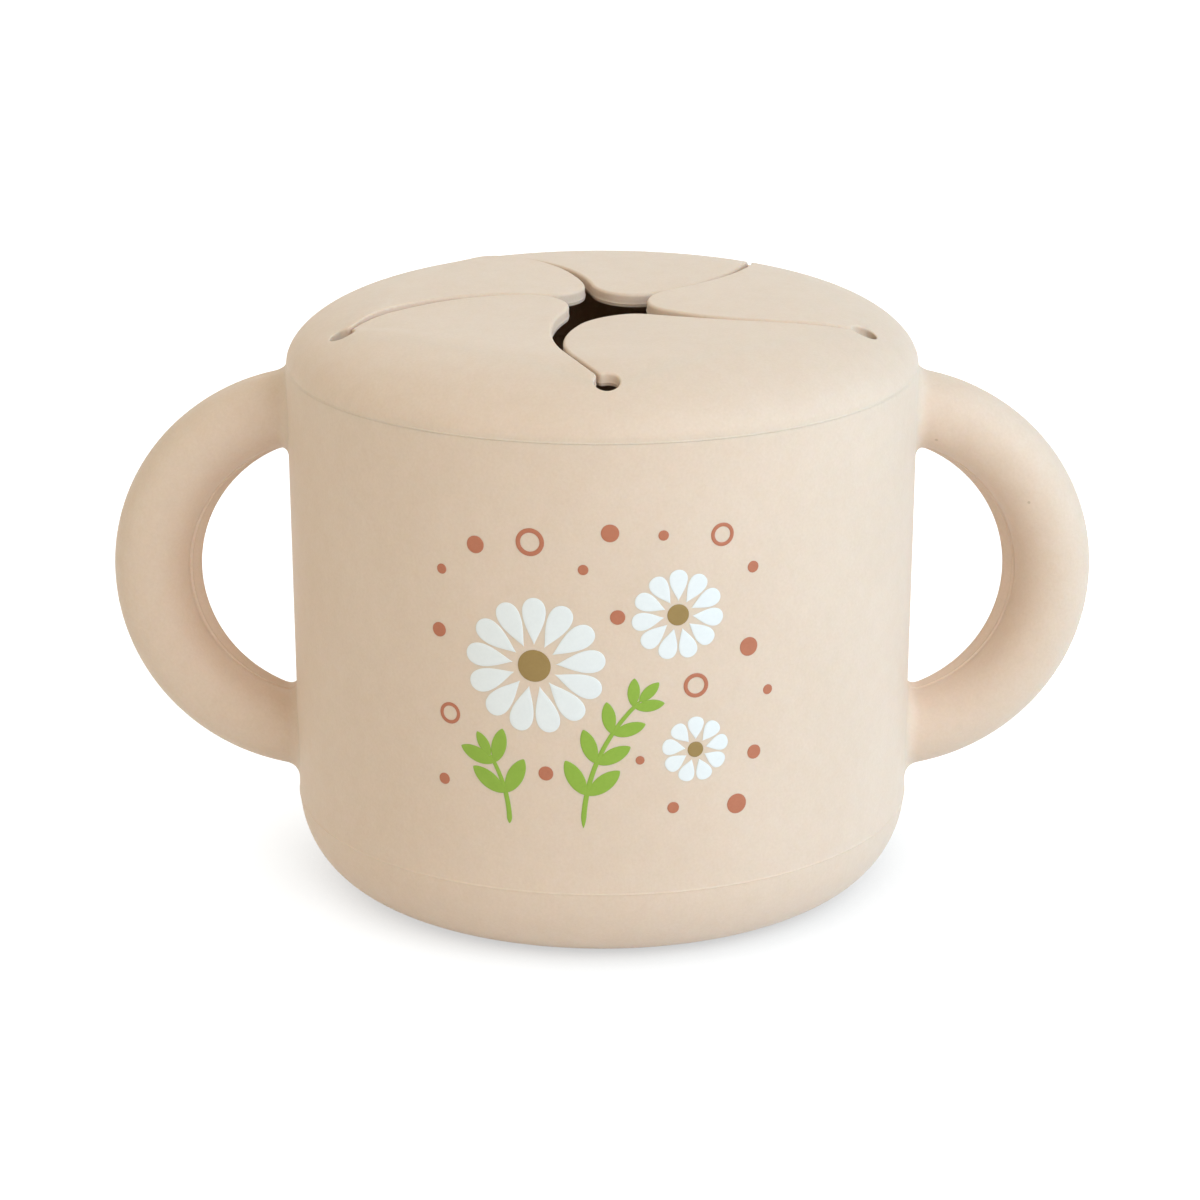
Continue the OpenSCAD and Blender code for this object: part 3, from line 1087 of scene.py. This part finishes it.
def makeTwig(bm, place, height, curve, turn, pairs, way):
    def flip(point):
        return Vector((point.x * way, point.y))

    def onTwig(share, out=0.0):
        return turned((curve + out, 0), radians(turn * share)) - Vector((curve, 0))

    def addLeaf(base, degrees, length):
        middle, shape = leafShape(base, radians(degrees), length)
        inkPatch(bm, place, height, flip(middle), [flip(p) for p in shape])
    points = range(twig["points"] + 1)
    path = [flip(onTwig(i / twig["points"])) for i in points]
    inkBand(bm, place, height, path, [twigHalf(i) for i in points])
    largest, smaller = twig["leafSizes"]
    for i in range(1, pairs + 1):
        share = i / (pairs + twig["pairsEnd"])
        for side in (-1, 1):
            base = onTwig(share, side * twig["width"] / 4)
            addLeaf(base, turn * share - twig["leafTurn"] * side, twig["leaf"] * (largest - smaller * i))
    addLeaf(onTwig(twig["lastPlace"]), turn - 1, twig["leaf"] * twig["lastLeaf"])


def makeLeaves():
    bm = newMesh()
    for values in twigs:
        makeTwig(bm, *values)
    capEnds(bm)
    return finishPiece(bm, "printLeaves", inkFinish["green"], ["print_leaves"], "cup")


def makeBerries():
    bm = newMesh()
    for place, height, r, ring in berries:
        outline = circle(r, berry["points"])
        if ring:
            path = [point * berry["ringMiddle"] for point in outline]
            inkBand(bm, place, height, path, [r * berry["ringHalf"]] * len(path), closed=True)
        else:
            inkPatch(bm, place, height, Vector((0, 0)), outline)
    return finishPiece(bm, "printBerries", inkFinish["terracotta"],
                       ["print_berries"], "cup")


makePetals()
makeCentres()
makeLeaves()
makeBerries()
print("print made")

view = {
    "distance": 540.9,
    "elevation": 18.03,
    "lens": 114.04,
    "sensor": 36,
    "target": (-0.303, 0, 38.65),
}


def makeCamera():
    data = bpy.data.cameras.new("camera")
    data.lens = view["lens"]
    data.sensor_width = view["sensor"]
    camera = bpy.data.objects.new("camera", data)
    bpy.context.scene.collection.objects.link(camera)
    elevation = radians(view["elevation"])
    target = Vector(view["target"]) * mm
    away = Vector((0, -cos(elevation), sin(elevation)))
    camera.location = target + away * view["distance"] * mm
    camera.rotation_euler = (-away).to_track_quat("-Z", "Y").to_euler()
    bpy.context.scene.camera = camera


# 1 for the rays that show the background: straight from the camera, off a gloss or through glass
def seenRays(flow):
    seen, glossy, through = (flow.node("ShaderNodeLightPath", output=i) for i in (0, 3, 6))
    return flow.maths("MAXIMUM", seen, flow.maths("MAXIMUM", glossy, through))


ground = {
    "size": 4,
    "colour": (0.9, 0.9, 0.9, 1),
    "evenShare": 0.75,        # of what shows; the rest is lit by the lamps
    "shaded": 0.7,            # brightness under the object, and what open floor adds to it
    "open": 0.74,
    "shadeReach": 0.0245,     # in metres
    "shadeSamples": 8,
}


def makeFloor():
    bm = bmesh.new()
    bmesh.ops.create_grid(bm, x_segments=1, y_segments=1, size=ground["size"])
    mesh = bpy.data.meshes.new("floor")
    bm.to_mesh(mesh)
    bm.free()
    floor = bpy.data.objects.new("floor", mesh)
    bpy.context.scene.collection.objects.link(floor)
    material, flow = newMaterial("floor")
    diffuse = flow.node("ShaderNodeBsdfDiffuse", None, {"Color": ground["colour"]})
    openness = flow.node("ShaderNodeAmbientOcclusion", {"samples": ground["shadeSamples"]},
                         {"Distance": ground["shadeReach"]}, output=1)
    strength = ground["shaded"] + openness * ground["open"]
    bright = flow.node("ShaderNodeEmission", None, {"Color": (1, 1, 1, 1), "Strength": strength})
    shown = flow.node("ShaderNodeMixShader", None, {0: ground["evenShare"], 1: diffuse, 2: bright})
    both = flow.node("ShaderNodeMixShader", None, {0: seenRays(flow), 1: diffuse, 2: shown})
    flow.node("ShaderNodeOutputMaterial", None, {"Surface": both})
    mesh.materials.append(material)


lights = {
    "key": {"place": (0.554, -0.709, 0.63), "size": 0.9, "watts": 8.1, "colour": (0.81, 0.92, 1.0)},
    "side": {"place": (1.0, -0.09, 0.45), "size": 1.2, "watts": 6.4, "colour": (0.33, 0.67, 1.0)},
    "back": {"place": (-0.2, 1.0, 0.85), "size": 1.2, "watts": 3.8, "colour": (0.9, 1.0, 1.0)},
    "left": {"place": (-0.9, -0.3, 0.6), "size": 1.2, "watts": 2.8, "colour": (1.0, 1.0, 0.9)},
}
lightTarget = Vector((0, 0, 0.04))
surroundings = {"colour": (1.0, 0.88, 0.62, 1), "strength": 0.36}


def makeLights():
    for name, values in lights.items():
        data = bpy.data.lights.new(name, "AREA")
        data.size = values["size"]
        data.energy = values["watts"]
        data.color = values["colour"]
        lamp = bpy.data.objects.new(name, data)
        bpy.context.scene.collection.objects.link(lamp)
        lamp.location = values["place"]
        toObject = lightTarget - lamp.location
        lamp.rotation_euler = toObject.to_track_quat("-Z", "Y").to_euler()


def makeWorld():
    world = bpy.data.worlds.new("world")
    bpy.context.scene.world = world
    world.use_nodes = True
    world.node_tree.nodes.clear()
    flow = Flow(world.node_tree)
    light = flow.node("ShaderNodeBackground", None,
                      {"Color": surroundings["colour"], "Strength": surroundings["strength"]})
    white = flow.node("ShaderNodeBackground", None, {"Color": (1, 1, 1, 1), "Strength": 1.0})
    both = flow.node("ShaderNodeMixShader", None, {0: seenRays(flow), 1: light, 2: white})
    flow.node("ShaderNodeOutputWorld", None, {"Surface": both})


makeCamera()
makeFloor()
makeLights()
makeWorld()
bpy.context.scene.view_settings.view_transform = "Standard"
print("camera, floor and light made")
